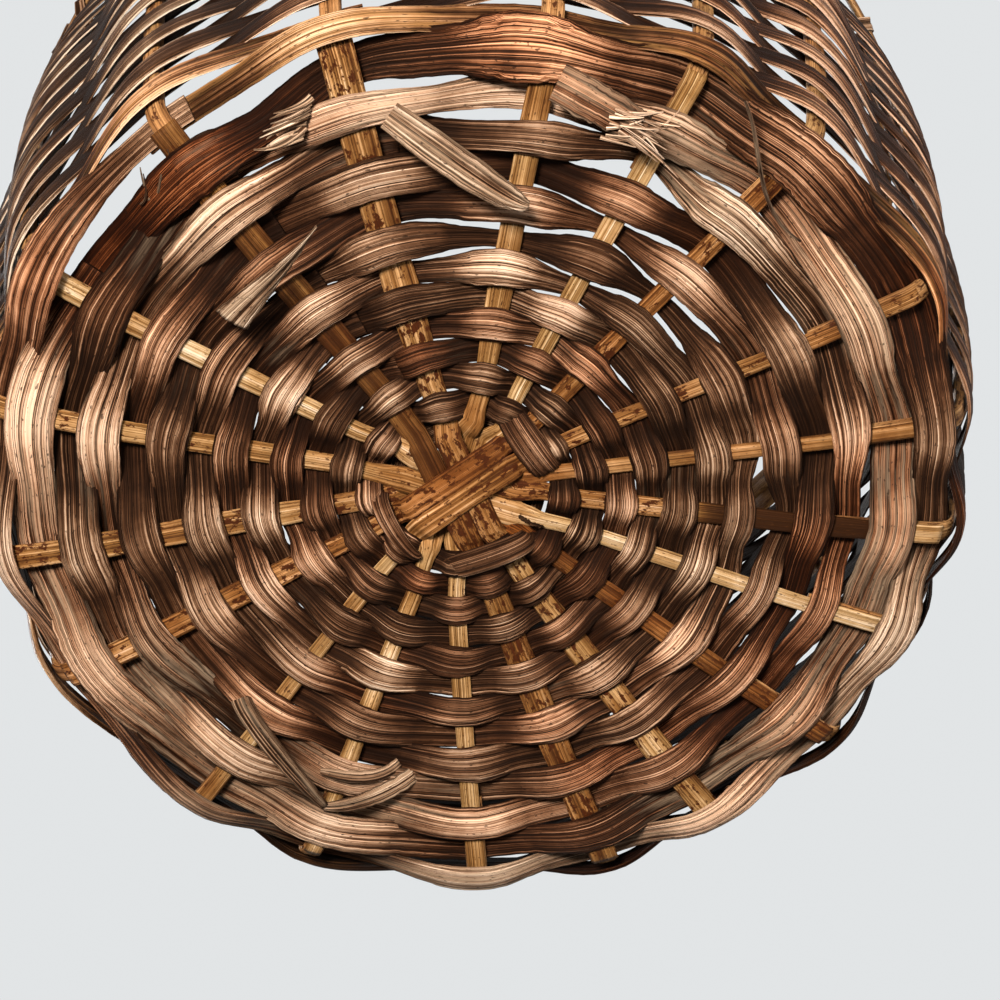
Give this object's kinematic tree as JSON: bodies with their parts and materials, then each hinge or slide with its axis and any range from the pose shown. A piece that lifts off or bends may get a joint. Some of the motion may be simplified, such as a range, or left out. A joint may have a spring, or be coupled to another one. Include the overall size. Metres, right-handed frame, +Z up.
{
  "type": "woven gathering basket",
  "caption": "Round open gathering basket, handwoven from flat dark vine strips over split bamboo spokes and upright stakes, with a lashed hoop rim.",
  "frame": {"origin": "on the ground, below the middle of the round base", "axes": "+Z up, from the base to the open mouth; +Y towards the part of the wall that shows at the top of the picture, and +X to its left"},
  "size_m": [0.349, 0.3487, 0.2325],
  "materials": {
    "split_bamboo": "satin",
    "vine_strip": "matte",
    "border_bamboo": "satin",
    "stake_wood": "matte",
    "rim_wood": "matte"
  },
  "bodies": {
    "root": {"base_split_1": "split_bamboo", "base_split_2": "split_bamboo", "base_split_3": "split_bamboo", "base_split_4": "split_bamboo", "base_split_5": "split_bamboo", "base_split_6": "split_bamboo", "base_split_7": "split_bamboo", "base_split_8": "split_bamboo", "base_split_9": "split_bamboo", "base_split_half": "split_bamboo", "base_weaver_1": "vine_strip", "base_weaver_2": "vine_strip", "base_weaver_3": "vine_strip", "base_weaver_4": "vine_strip", "base_weaver_5": "vine_strip", "base_weaver_6": "vine_strip", "base_weaver_7": "vine_strip", "base_weaver_8": "vine_strip", "border_band": "border_bamboo", "wall_stake_01": "stake_wood", "wall_stake_02": "stake_wood", "wall_stake_03": "stake_wood", "wall_stake_04": "stake_wood", "wall_stake_05": "stake_wood", "wall_stake_06": "stake_wood", "wall_stake_07": "stake_wood", "wall_stake_08": "stake_wood", "wall_stake_09": "stake_wood", "wall_stake_10": "stake_wood", "wall_stake_11": "stake_wood", "wall_stake_12": "stake_wood", "wall_stake_13": "stake_wood", "wall_stake_14": "stake_wood", "wall_stake_15": "stake_wood", "wall_stake_16": "stake_wood", "wall_stake_17": "stake_wood", "wall_stake_18": "stake_wood", "wall_stake_19": "stake_wood", "wall_weaver_01": "vine_strip", "wall_weaver_02": "vine_strip", "wall_weaver_03": "vine_strip", "wall_weaver_04": "vine_strip", "wall_weaver_05": "vine_strip", "wall_weaver_06": "vine_strip", "wall_weaver_07": "vine_strip", "wall_weaver_08": "vine_strip", "wall_weaver_09": "vine_strip", "wall_weaver_10": "vine_strip", "rim_hoop_inner": "rim_wood", "rim_hoop_outer": "rim_wood", "rim_lashing": "vine_strip"}
  },
  "joints": []
}
